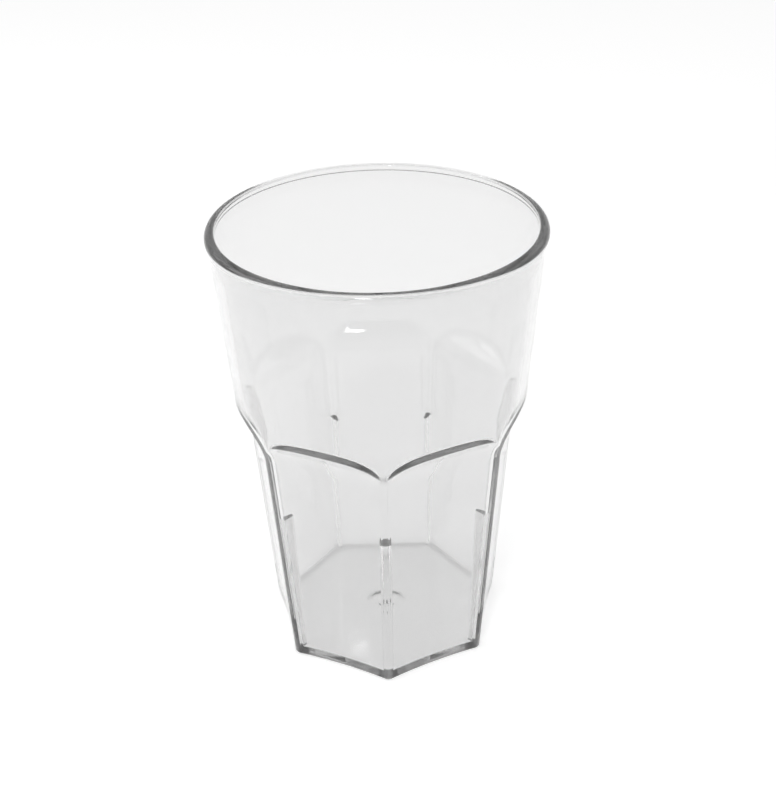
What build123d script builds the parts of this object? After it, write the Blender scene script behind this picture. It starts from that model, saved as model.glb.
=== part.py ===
"""Clear shot glass, injection moulded in one piece: seven hollow flats below, a round mouth above.

Millimetres, +Z up. The origin is the middle of the foot, and one corner of the flats faces -Y.
"""
import os
from math import atan, cos, radians, sin, sqrt

from build123d import *

# Overall
height = 63.0
rim_diameter = 44.0

# Outer cone, which the corners of the flats all but touch
foot_diameter = 34.5

# Wall and floor
wall = 1.1
floor = 1.3

# Flats, hollowed as if by a large wheel, and the flare that ends each of them
flat_count = 7
corner_depth = 0.05
hollow = 0.4
flat_top = 34.4
flare_radius = 6.0
corner_round = 1.0

# Foot edge
foot_round = 0.5

# Bead round the mouth, which stands out from the cone, and its lip
bead_step = 0.2
bead_side = 0.3
lip_flat = 0.15
lip_inner_bevel = 0.3

# Stacking ribs in the inner corners, on whose tops the next glass stands
rib_top = 24.7
rib_reach = 0.95
rib_width = 0.9

# Gate mark under the floor
gate_recess_diameter = 4.8
gate_recess_depth = 0.25
gate_stub_diameter = 1.4
gate_stub_height = 0.1

# Worked out from the sizes above
rim_radius = rim_diameter / 2
cone_slope = (rim_radius - bead_step - foot_diameter / 2) / height
wall_across = wall / cos(atan(cone_slope))
lip_outer_round = bead_step + wall_across - lip_flat - lip_inner_bevel
bead_foot = height - lip_outer_round - bead_side
half_pitch = radians(180 / flat_count)
foot_corner = foot_diameter / 2 - corner_depth
foot_wheel_radius = ((foot_corner * sin(half_pitch)) ** 2 + hollow**2) / (2 * hollow)
wheel_distance = foot_corner * cos(half_pitch) - hollow + foot_wheel_radius
first_corner = -90
first_flat = first_corner + 180 / flat_count
overrun = wall


def cone_radius(z):
    """Radius of the outer cone at height z."""
    return foot_diameter / 2 + cone_slope * z


def bore_radius(z):
    """Radius of the round inside at height z, one wall inside the cone."""
    return cone_radius(z) - wall_across


def wheel_radius(z):
    """Radius of the upright wheel that hollows a flat, so that at height z the corners lie by the cone."""
    corner = cone_radius(z) - corner_depth
    return sqrt(wheel_distance**2 + corner**2 - 2 * wheel_distance * corner * cos(half_pitch))


flat_slope = (foot_wheel_radius - wheel_radius(flat_top)) / flat_top
flat_tilt = atan(flat_slope)


def inner_corner_radius(z):
    """Distance from the axis to an inner corner of the flats at height z."""
    inner_wheel = foot_wheel_radius - flat_slope * z + wall / cos(flat_tilt)
    return wheel_distance * cos(half_pitch) - sqrt(inner_wheel**2 - (wheel_distance * sin(half_pitch)) ** 2)


def flat_cutter(inset):
    """Wheel that hollows one flat, facing +X, with a round upper edge for the flare; inset enlarges it."""
    wheel_top = flat_top + flare_radius * (1 - sin(flat_tilt)) + inset
    foot_radius = foot_wheel_radius + inset / cos(flat_tilt)
    with BuildPart(Plane.XY.offset(-overrun)) as wheel:
        with Locations((wheel_distance, 0)):
            Cone(
                foot_radius + flat_slope * overrun,
                foot_radius - flat_slope * wheel_top,
                wheel_top + overrun,
                align=(Align.CENTER, Align.CENTER, Align.MIN),
            )
        fillet(wheel.faces().sort_by(Axis.Z)[-1].edges(), flare_radius + inset)
    return wheel.part


def is_corner(edge):
    """True for the long edges that run up between two flats, from below half their height."""
    ends = edge.bounding_box()
    return ends.size.Z > flat_top / 2 > ends.min.Z


outer_flat = flat_cutter(0)
inner_flat = flat_cutter(wall)

# Rib cutter: what a rib takes from the core, facing +X, with an upright face that slides off the core
with BuildPart() as rib:
    with Locations((inner_corner_radius(floor) - rib_reach, 0, 0)):
        Box(rim_radius, rib_width, rib_top, align=(Align.MIN, Align.CENTER, Align.MIN))

# Core: the space inside the glass, from the floor to above the mouth
with BuildPart() as core:
    with BuildSketch(Plane.XZ):
        with BuildLine():
            core_top = height + overrun
            Polyline(
                (0, floor),
                (bore_radius(floor), floor),
                (bore_radius(core_top), core_top),
                (0, core_top),
                close=True,
            )
        make_face()
    revolve(axis=Axis.Z)
    for place in PolarLocations(0, flat_count, start_angle=first_flat).locations:
        add(inner_flat.moved(place), mode=Mode.SUBTRACT)
    with PolarLocations(0, flat_count, start_angle=first_corner):
        add(rib.part, mode=Mode.SUBTRACT)

# Glass: the outer form with its bead, less the core
with BuildPart() as shot_glass:
    with BuildSketch(Plane.XZ):
        with BuildLine():
            Polyline(
                (0, 0),
                (cone_radius(0), 0),
                (cone_radius(bead_foot), bead_foot),
                (rim_radius, bead_foot),
                (rim_radius, height),
                (0, height),
                close=True,
            )
        make_face()
    revolve(axis=Axis.Z)
    for place in PolarLocations(0, flat_count, start_angle=first_flat).locations:
        add(outer_flat.moved(place), mode=Mode.SUBTRACT)
    fillet(shot_glass.edges().filter_by(is_corner), corner_round)
    fillet(shot_glass.faces().sort_by(Axis.Z)[0].edges(), foot_round)
    fillet(shot_glass.faces().sort_by(Axis.Z)[-1].edges(), lip_outer_round)
    add(core.part, mode=Mode.SUBTRACT)
    chamfer(shot_glass.faces().sort_by(Axis.Z)[-1].edges().sort_by(SortBy.LENGTH)[0], lip_inner_bevel)
    with BuildSketch(Plane.XY):
        Circle(gate_recess_diameter / 2)
    extrude(amount=gate_recess_depth, mode=Mode.SUBTRACT)
    with BuildSketch(Plane.XY.offset(gate_recess_depth)):
        Circle(gate_stub_diameter / 2)
    extrude(amount=-gate_stub_height)
shot_glass.part.label = "shot_glass"

os.makedirs("parts", exist_ok=True)
export_step(shot_glass.part, "parts/shot_glass.step")
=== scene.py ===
import bpy
import numpy as np
from mathutils import Matrix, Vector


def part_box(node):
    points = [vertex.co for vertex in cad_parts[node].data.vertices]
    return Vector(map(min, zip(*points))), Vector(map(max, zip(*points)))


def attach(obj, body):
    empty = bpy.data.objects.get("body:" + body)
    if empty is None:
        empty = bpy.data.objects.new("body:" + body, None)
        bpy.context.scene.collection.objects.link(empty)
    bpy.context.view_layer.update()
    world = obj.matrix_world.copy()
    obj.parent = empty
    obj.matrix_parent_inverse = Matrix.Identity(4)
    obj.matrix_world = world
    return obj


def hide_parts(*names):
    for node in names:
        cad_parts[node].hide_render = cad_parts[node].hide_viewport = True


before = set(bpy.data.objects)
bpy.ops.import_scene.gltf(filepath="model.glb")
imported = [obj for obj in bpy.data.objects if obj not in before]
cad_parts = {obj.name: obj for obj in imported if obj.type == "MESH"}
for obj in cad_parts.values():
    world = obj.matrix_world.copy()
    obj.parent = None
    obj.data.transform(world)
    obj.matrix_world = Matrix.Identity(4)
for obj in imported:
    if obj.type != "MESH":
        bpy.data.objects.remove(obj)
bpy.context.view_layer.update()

# Shot glass: one thin-walled moulding of clear polystyrene, filled through a gate under its foot.
# Its lower part is drawn in to seven flats, and each flat sweeps out in an arch to the round mouth.
# A steel core forms the inside, with a rib in each corner on which the next glass of a stack stands.
MM = 0.001
box_margin = 0.01 * MM
box_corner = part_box("shot_glass")[1]
height = box_corner[2]
rim_radius = box_corner[0] - box_margin
foot_radius = 17.25 * MM
wall = 1.1 * MM
floor = 1.3 * MM
flat_count = 7
flat_top = 34.4 * MM
corner_depth = 0.05 * MM
hollow = 0.4 * MM
flare_radius = 6.0 * MM
arch_round = 0.3 * MM
outer_corner_round = 1.0 * MM
inner_corner_round = 1.0 * MM
foot_round = 0.5 * MM
foot_corner_round = 0.08 * MM
floor_round = 0.2 * MM
bead_step = 0.2 * MM
bead_side = 0.3 * MM
bead_round = 0.08 * MM
lip_flat = 0.15 * MM
lip_inner_round = 0.3 * MM
rib_top = 24.9 * MM
rib_reach = 0.95 * MM
rib_width = 0.45 * MM
rib_lean = np.tan(np.radians(1.7))
rib_draft = 8.0
rib_round = 0.06 * MM
gate_radius = 2.4 * MM
gate_depth = 0.25 * MM
gate_round = 0.4 * MM
stub_radius = 0.7 * MM
stub_height = 0.1 * MM
stub_round = 0.15 * MM

cone_slope = (rim_radius - bead_step - foot_radius) / height
wall_across = wall / np.cos(np.arctan(cone_slope))
half_pitch = np.pi / flat_count
foot_half_width = (foot_radius - corner_depth) * np.sin(half_pitch)
bend = (foot_half_width**2 + hollow**2) / (2 * hollow)
lip_round = bead_step + wall_across - lip_flat - lip_inner_round
bead_foot = height - lip_round - bead_side

# Columns of the mesh, in degrees from a corner: close together where the corners and ribs turn, and wider
# apart on the flats. Each flat has the same columns, mirrored about its middle.
corner_middle = np.arange(0, 0.9, 0.3)
rib_side = np.arange(0.9, 1.7, 0.07)
beside_rib = np.array([1.8, 2.1, 2.5, 3.1, 3.8])
across_flat = np.linspace(4.6, 180 / flat_count, 18)
half_flat = np.radians(np.concatenate([corner_middle, rib_side, beside_rib, across_flat]))
one_pitch = np.concatenate([half_flat, 2 * half_pitch - half_flat[-2:0:-1]])
turn = (one_pitch + 2 * half_pitch * np.arange(flat_count)[:, None]).ravel() - np.pi / 2
from_corner = np.tile(np.minimum(one_pitch, 2 * half_pitch - one_pitch), flat_count)
columns = len(turn)


def cone(z):
    """Radius of the outer cone: the foot's radius plus the slope times the height."""
    return foot_radius + cone_slope * z


def bore(z):
    """Radius of the round inside, one wall inside the cone."""
    return cone(z) - wall_across


def flat_middle(z):
    """Distance from the axis to the middle of a flat whose corners lie by the cone: the corner's distance
    along the flat's own direction, less the depth of the hollow."""
    corner = cone(z) - corner_depth
    across = corner * np.sin(half_pitch)
    return corner * np.cos(half_pitch) - (bend - np.sqrt(bend**2 - across**2))


def flat_distance(z, inset):
    """Distance from the axis to the middle of a flat: a straight taper to flat_top, and above it a circle
    that is tangent to the taper and sweeps outwards, to just short of the circle's top. The inside has the
    same centre, one wall away."""
    short_of_top = 0.999
    end = flat_middle(flat_top)
    flat_tilt = np.arctan((end - flat_middle(0)) / flat_top)
    centre_out = end + flare_radius * np.cos(flat_tilt)
    centre_up = flat_top - flare_radius * np.sin(flat_tilt)
    radius = flare_radius + inset
    taper = end - inset / np.cos(flat_tilt) + np.tan(flat_tilt) * (z - flat_top)
    rise = np.clip(z - centre_up, 0, short_of_top * radius)
    sweep = centre_out - np.sqrt(radius**2 - rise**2)
    return np.where(z - centre_up > radius * np.sin(flat_tilt), sweep, taper)


def seven_sided(distance, corner, inset):
    """Radius of a seven-sided section at each column: each side is part of a large circle that hollows it,
    and near a corner it is the far side of the small circle that rounds the corner."""
    from_middle = half_pitch - from_corner
    side = bend + inset
    out = distance + side
    flat = out * np.cos(from_middle) - np.sqrt(np.maximum(side**2 - (out * np.sin(from_middle)) ** 2, 0))
    centre = out * np.cos(half_pitch) - np.sqrt((side + corner) ** 2 - (out * np.sin(half_pitch)) ** 2)
    share = side / (side + corner)
    touch_along = out * np.cos(half_pitch) * (1 - share) + centre * share
    touch_across = out * np.sin(half_pitch) * (1 - share)
    arc_angle = np.arctan2(touch_across, touch_along)
    off_centre = centre * np.sin(from_corner)
    arc = centre * np.cos(from_corner) + np.sqrt(np.maximum(corner**2 - off_centre**2, 0))
    return np.where(from_corner < arc_angle, arc, flat)


def soft_min(a, b, width):
    """The smaller of a and b, rounded over where they differ by less than width."""
    blend = np.maximum(width - np.abs(a - b), 0) / width
    return np.minimum(a, b) - blend**2 * width / 4


def outside(z):
    """Outer wall: the smaller of the cone and the seven-sided section."""
    return soft_min(cone(z), seven_sided(flat_distance(z, 0), outer_corner_round, 0), arch_round)


def inside(z, share):
    """Inner wall: the smaller of the bore and the inner section, with a rib in each corner. A rib stands
    out by a share of its reach. Its face leans less than the corner does, and its sides are steep ramps."""
    section = seven_sided(flat_distance(z, wall), inner_corner_round, wall)
    corner = section[:, :1]
    full_face = seven_sided(flat_distance(floor, wall), 0, wall)[0] - rib_reach + rib_lean * (z - floor)
    face = corner + share * (full_face - corner)
    past_side = np.maximum(face * np.tan(from_corner) - rib_width / 2, 0)
    rib = face / np.cos(from_corner) + rib_draft * past_side
    return soft_min(bore(z), soft_min(section, rib, rib_round), arch_round)


def arch_height(round_wall, inset, corner):
    """Height at each column where a flat's sweep meets the round wall: a span of heights that holds it is
    halved again and again."""
    halvings = 40
    low = np.full(columns, flat_top)
    high = np.full(columns, bead_foot)
    for _ in range(halvings):
        middle = (low + high) / 2
        below = seven_sided(flat_distance(middle, inset), corner, inset) < round_wall(middle)
        low = np.where(below, middle, low)
        high = np.where(below, high, middle)
    return low


def spread(low, high, count):
    """Equal steps from low to high at each column, one row for each step."""
    return low + (high - low) * np.linspace(0, 1, count)[:, None]


def circles(points):
    """Rows of plain circles, one for each pair of radius and height."""
    pairs = np.array(points)[:, :, None]
    return pairs[:, 0], pairs[:, 1]


def quarter(count):
    """Sine and cosine over a quarter turn, as columns of rows."""
    angle = np.linspace(0, np.pi / 2, count)[:, None]
    return np.sin(angle), np.cos(angle)


# Rows of the mesh, and how many of them each stretch of the wall gets.
rows = []
all_round = np.zeros(columns)
flat_rows = 14
sweep_rows = 12
arch_rows = 11
cone_rows = 12
round_rows = 9


def add_rows(radius, level):
    """Adds rows of points, in order from the middle of the foot up the outside and down the inside."""
    rows.append(np.stack(np.broadcast_arrays(radius, level, turn)[:2]))


# Under the foot: the gate's stub, its recess with a soft edge, the flat and the rounded edge of the foot.
foot_rows = 7
gate_ease = 0.15
stub_end = gate_depth - stub_height
add_rows(*circles([
    (stub_radius / 2, stub_end),
    (stub_radius - stub_round, stub_end),
    (stub_radius, stub_end + stub_height / 2),
    (stub_radius + stub_round, gate_depth),
    (gate_radius - 2 * gate_round, gate_depth),
    (gate_radius - gate_round, gate_depth * (1 - gate_ease)),
    (gate_radius, gate_depth / 2),
    (gate_radius + gate_round, gate_depth * gate_ease),
    (gate_radius + 2 * gate_round, 0),
]))
sine, cosine = quarter(round_rows)
edge_up = foot_round * (1 - cosine)
edge_in = foot_round * (1 - sine)
edge_corner = np.maximum(outer_corner_round - edge_in, foot_corner_round)
edge = seven_sided(flat_distance(edge_up, 0) - edge_in, edge_corner, 0)
add_rows(spread(gate_radius + 3 * gate_round, edge[0], foot_rows)[:-1], 0)
add_rows(edge, edge_up)

# Outside: flats, sweep, rounded arch and cone.
arch = arch_height(cone, 0, outer_corner_round)
climb = np.vstack([
    spread(foot_round + all_round, flat_top, flat_rows)[1:],
    spread(flat_top, arch - arch_round, sweep_rows)[1:-1],
    spread(arch - arch_round, arch + arch_round, arch_rows),
    spread(arch + arch_round, bead_foot - bead_round, cone_rows)[1:],
])
add_rows(outside(climb), climb)

# Mouth: the bead's step, its side, and a lip that is rounded both ways.
add_rows(*circles([
    (cone(bead_foot) + bead_round / 4, bead_foot - bead_round / 4),
    (cone(bead_foot) + bead_round, bead_foot),
    (rim_radius - bead_round, bead_foot),
    (rim_radius - bead_round / 4, bead_foot + bead_round / 4),
    (rim_radius, bead_foot + bead_round),
]))
sine, cosine = quarter(round_rows)
outer_up = height - lip_round
inner_up = height - lip_inner_round
outer_lip = np.hstack([rim_radius - lip_round * (1 - cosine), outer_up + lip_round * sine])
inner_lip = np.hstack([bore(inner_up) + lip_inner_round * (1 - sine), inner_up + lip_inner_round * cosine])
add_rows(*circles(outer_lip))
add_rows(*circles(inner_lip))

# Inside, from the lip down: bore, arch, sweep and flats as far as the ribs.
rows_above_ribs = 7
inner_arch = arch_height(bore, wall, inner_corner_round)
above_ribs = np.vstack([
    spread(inner_up + all_round, inner_arch + arch_round, cone_rows)[1:],
    spread(inner_arch + arch_round, inner_arch - arch_round, arch_rows)[1:],
    spread(inner_arch - arch_round, flat_top, sweep_rows)[1:],
    spread(flat_top + all_round, rib_top + 2 * rib_round, rows_above_ribs)[1:],
])
add_rows(inside(above_ribs, 0), above_ribs)

# Heads of the ribs: each row's height over rib_top, in rounds, and the share of the reach that it has.
rib_head = np.array([
    (1.0, 0.0),
    (0.6, 0.0),
    (0.5, 0.03),
    (0.4, 0.1),
    (0.3, 0.5),
    (0.2, 0.9),
    (0.1, 0.97),
    (-0.3, 1.0),
    (-1.0, 1.0),
    (-2.0, 1.0),
])
head_up = rib_top + rib_round * rib_head[:, :1]
add_rows(inside(head_up, rib_head[:, 1:]), head_up)

# Below the heads: flats with their ribs, the rounded edge of the floor, and the floor.
rib_rows = 24
floor_round_rows = 7
floor_rows = 10
floor_edge = floor + floor_round
below_heads = spread(rib_top - 4 * rib_round, floor_edge, rib_rows)
add_rows(inside(below_heads, 1), below_heads)
sine, cosine = quarter(floor_round_rows)
edge_up = floor_edge - floor_round * sine[1:]
edge = inside(edge_up, 1) - floor_round * (1 - cosine[1:])
add_rows(edge, edge_up)
add_rows(spread(edge[-1], stub_radius, floor_rows)[1:], floor)

# The rows are joined by quads all round, and a fan of triangles closes each pole.
radius, level = np.concatenate(rows, axis=1)
points = np.stack([radius * np.cos(turn), radius * np.sin(turn), level], axis=2).reshape(-1, 3)
poles = np.array([(0, 0, stub_end), (0, 0, floor)])
index = np.arange(radius.size).reshape(radius.shape)
beside = np.roll(index, -1, axis=1)
quads = np.stack([index[:-1], beside[:-1], beside[1:], index[1:]], axis=2).reshape(-1, 4)
foot_pole = index.size
floor_pole = index.size + 1
foot_fan = np.stack([np.full(columns, foot_pole), beside[0], index[0]], axis=1)
floor_fan = np.stack([np.full(columns, floor_pole), index[-1], beside[-1]], axis=1)
faces = quads.tolist() + foot_fan.tolist() + floor_fan.tolist()
mesh = bpy.data.meshes.new("shot_glass_moulding")
mesh.from_pydata(np.vstack([points, poles]).tolist(), [], faces)
mesh.shade_smooth()
glass = bpy.data.objects.new("shot_glass_moulding", mesh)
bpy.context.collection.objects.link(glass)


def linear(hex_colour):
    """Linear red, green, blue and full alpha from an sRGB hex value."""
    srgb = np.array([int(hex_colour[i:i + 2], 16) for i in (1, 3, 5)]) / 255
    low = srgb / 12.92
    high = ((srgb + 0.055) / 1.055) ** 2.4
    return (*np.where(srgb <= 0.04045, low, high).tolist(), 1.0)


def node(tree, kind, links=None, inputs=None, **settings):
    """Adds a node, sets its properties and sockets, and links sockets from (node, output) pairs."""
    made = tree.nodes.new(kind)
    for name, value in settings.items():
        setattr(made, name, value)
    for name, value in (inputs or {}).items():
        made.inputs[name].default_value = value
    for name, (source, output) in (links or {}).items():
        tree.links.new(source.outputs[output], made.inputs[name])
    return made


# Clear polystyrene, polished as moulded: water-clear, with bright reflections and dark lines where light is
# caught inside the wall, which takes up a little of it on the way. Slow waves left by the flow of the melt
# bend what shows through, and handling has left a faint haze in patches.
wave_length = 7.0 * MM
wave_depth = 0.025 * MM
haze_patch = 3.0 * MM
haze_begins = 0.45
haze_full = 0.75
polished_roughness = 0.015
hazy_roughness = 0.07
taken_up_per_metre = 25.0
clear = bpy.data.materials.new("clear_polystyrene_injection_moulded")
clear.use_nodes = True
clear.node_tree.nodes.clear()
tree = clear.node_tree
place = node(tree, "ShaderNodeTexCoord")
waves = node(tree, "ShaderNodeTexNoise", links={"Vector": (place, "Object")}, inputs={
    "Scale": 1 / wave_length,
    "Detail": 1.0,
})
wavy = node(tree, "ShaderNodeBump", links={"Height": (waves, "Fac")}, inputs={
    "Strength": 1.0,
    "Distance": wave_depth,
})
patches = node(tree, "ShaderNodeTexNoise", links={"Vector": (place, "Object")}, inputs={
    "Scale": 1 / haze_patch,
    "Detail": 3.0,
})
haze = node(tree, "ShaderNodeMapRange", links={"Value": (patches, "Fac")}, inputs={
    "From Min": haze_begins,
    "From Max": haze_full,
    "To Min": polished_roughness,
    "To Max": hazy_roughness,
})
shader = node(tree, "ShaderNodeBsdfPrincipled", links={
    "Roughness": (haze, "Result"),
    "Normal": (wavy, "Normal"),
}, inputs={
    "Base Color": linear("#F0F0F0"),
    "IOR": 1.59,
    "Transmission Weight": 1.0,
})
tint = node(tree, "ShaderNodeVolumeAbsorption", inputs={
    "Color": linear("#000000"),
    "Density": taken_up_per_metre,
})
node(tree, "ShaderNodeOutputMaterial", links={"Surface": (shader, "BSDF"), "Volume": (tint, "Volume")})
mesh.materials.append(clear)
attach(glass, "root")
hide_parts("shot_glass")

# Floor: a sheet of matt white card, on which the glass stands with a breath of air under its foot. A glow of
# its own tops up the light of the lamps to white where it is seen, directly or in the glass, and leaves the
# shadow of the glass on it.
card_half = 1.5
air_gap = 0.05 * MM
card_glow = 0.48
card = bpy.data.meshes.new("white_card_floor")
card_corners = np.array([(-1, -1), (1, -1), (1, 1), (-1, 1)]) * card_half
card.from_pydata([(x, y, -air_gap) for x, y in card_corners.tolist()], [], [(0, 1, 2, 3)])
card_floor = bpy.data.objects.new("white_card_floor", card)
bpy.context.collection.objects.link(card_floor)
white_card = bpy.data.materials.new("matt_white_card")
white_card.use_nodes = True
white_card.node_tree.nodes.clear()
tree = white_card.node_tree
paper = node(tree, "ShaderNodeBsdfDiffuse", inputs={"Color": linear("#F0F0F0")})
path = node(tree, "ShaderNodeLightPath")
direct = node(tree, "ShaderNodeMath", operation="MAXIMUM", links={
    0: (path, "Is Camera Ray"),
    1: (path, "Is Glossy Ray"),
})
seen = node(tree, "ShaderNodeMath", operation="MAXIMUM", links={
    0: (direct, 0),
    1: (path, "Is Transmission Ray"),
})
topped = node(tree, "ShaderNodeMath", operation="MULTIPLY", links={0: (seen, 0)}, inputs={1: card_glow})
glow = node(tree, "ShaderNodeEmission", links={"Strength": (topped, 0)}, inputs={"Color": linear("#FFFFFF")})
both = node(tree, "ShaderNodeAddShader", links={0: (paper, "BSDF"), 1: (glow, "Emission")})
node(tree, "ShaderNodeOutputMaterial", links={"Surface": (both, "Shader")})
card.materials.append(white_card)

# Studio: bright walls all round, which the clear plastic gathers as light, and a darker ceiling, which it
# gathers as grey. Between the two heights below, the one fades into the other.
wall_light = 0.88
ceiling_light = 0.35
wall_top = np.sin(np.radians(15))
ceiling_edge = np.sin(np.radians(45))
studio = bpy.data.worlds.new("bright_studio")
bpy.context.scene.world = studio
studio.use_nodes = True
tree = studio.node_tree
way = node(tree, "ShaderNodeTexCoord")
upward = node(tree, "ShaderNodeSeparateXYZ", links={"Vector": (way, "Generated")})
graded = node(tree, "ShaderNodeMapRange", links={"Value": (upward, "Z")}, inputs={
    "From Min": wall_top,
    "From Max": ceiling_edge,
    "To Min": wall_light,
    "To Max": ceiling_light,
})
surround = tree.nodes["Background"]
surround.inputs["Color"].default_value = linear("#FFFFFF")
tree.links.new(graded.outputs["Result"], surround.inputs["Strength"])

# Lamps: a small soft box above and behind the camera for a glint, and a large one at each side. Angles are
# in degrees, sizes in metres and powers in watts.
lamp_distance = 0.45


def soft_box(name, azimuth, elevation, width, tall, power):
    """Area lamp that faces the middle of the glass from a given direction, at the lamps' distance."""
    lamp = bpy.data.lights.new(name, "AREA")
    lamp.shape = "RECTANGLE"
    lamp.size = width
    lamp.size_y = tall
    lamp.energy = power
    made = bpy.data.objects.new(name, lamp)
    bpy.context.collection.objects.link(made)
    around = np.radians(azimuth)
    above = np.radians(elevation)
    way_out = np.array([np.cos(above) * np.cos(around), np.cos(above) * np.sin(around), np.sin(above)])
    across = np.array([-np.sin(around), np.cos(around), 0])
    placed = np.eye(4)
    placed[:3, :3] = np.stack([across, np.cross(way_out, across), way_out], axis=1)
    placed[:3, 3] = way_out * lamp_distance + (0, 0, height / 2)
    made.matrix_world = Matrix(placed.tolist())


soft_box("key_box", azimuth=-102, elevation=52, width=0.06, tall=0.04, power=0.25)
soft_box("left_box", azimuth=175, elevation=42, width=0.3, tall=0.3, power=0.36)
soft_box("right_box", azimuth=-12, elevation=42, width=0.25, tall=0.3, power=0.2)

# Camera: close to the glass, about a third of the way from level to straight above, and rolled a little.
aim = np.array([0, 0, 31.5 * MM])
camera_distance = 174.05 * MM
camera_rise = np.radians(32.091)
camera_roll = np.radians(1.4272)
camera_turn = np.radians(0.34)
camera_data = bpy.data.cameras.new("camera")
camera_data.lens = 55.62
camera_data.shift_x = 0.00767
camera_data.shift_y = 0.03812
camera_data.clip_start = 0.01
camera = bpy.data.objects.new("camera", camera_data)
bpy.context.collection.objects.link(camera)
level_ahead = np.array([np.sin(camera_turn), np.cos(camera_turn), 0])
level_right = np.array([np.cos(camera_turn), -np.sin(camera_turn), 0])
forward = np.cos(camera_rise) * level_ahead - np.sin(camera_rise) * np.array([0, 0, 1])
level_up = np.cross(level_right, forward)
right = np.cos(camera_roll) * level_right - np.sin(camera_roll) * level_up
up = np.sin(camera_roll) * level_right + np.cos(camera_roll) * level_up
placed = np.eye(4)
placed[:3, :3] = np.stack([right, up, -forward], axis=1)
placed[:3, 3] = aim - camera_distance * forward
camera.matrix_world = Matrix(placed.tolist())
bpy.context.scene.camera = camera
bpy.context.scene.view_settings.view_transform = "Standard"

# Light crosses many clear faces before it leaves the glass, so its paths are long and nothing is blurred.
most_bounces = 48
light_paths = bpy.context.scene.cycles
light_paths.max_bounces = most_bounces
light_paths.glossy_bounces = most_bounces
light_paths.transmission_bounces = most_bounces
light_paths.blur_glossy = 0.0
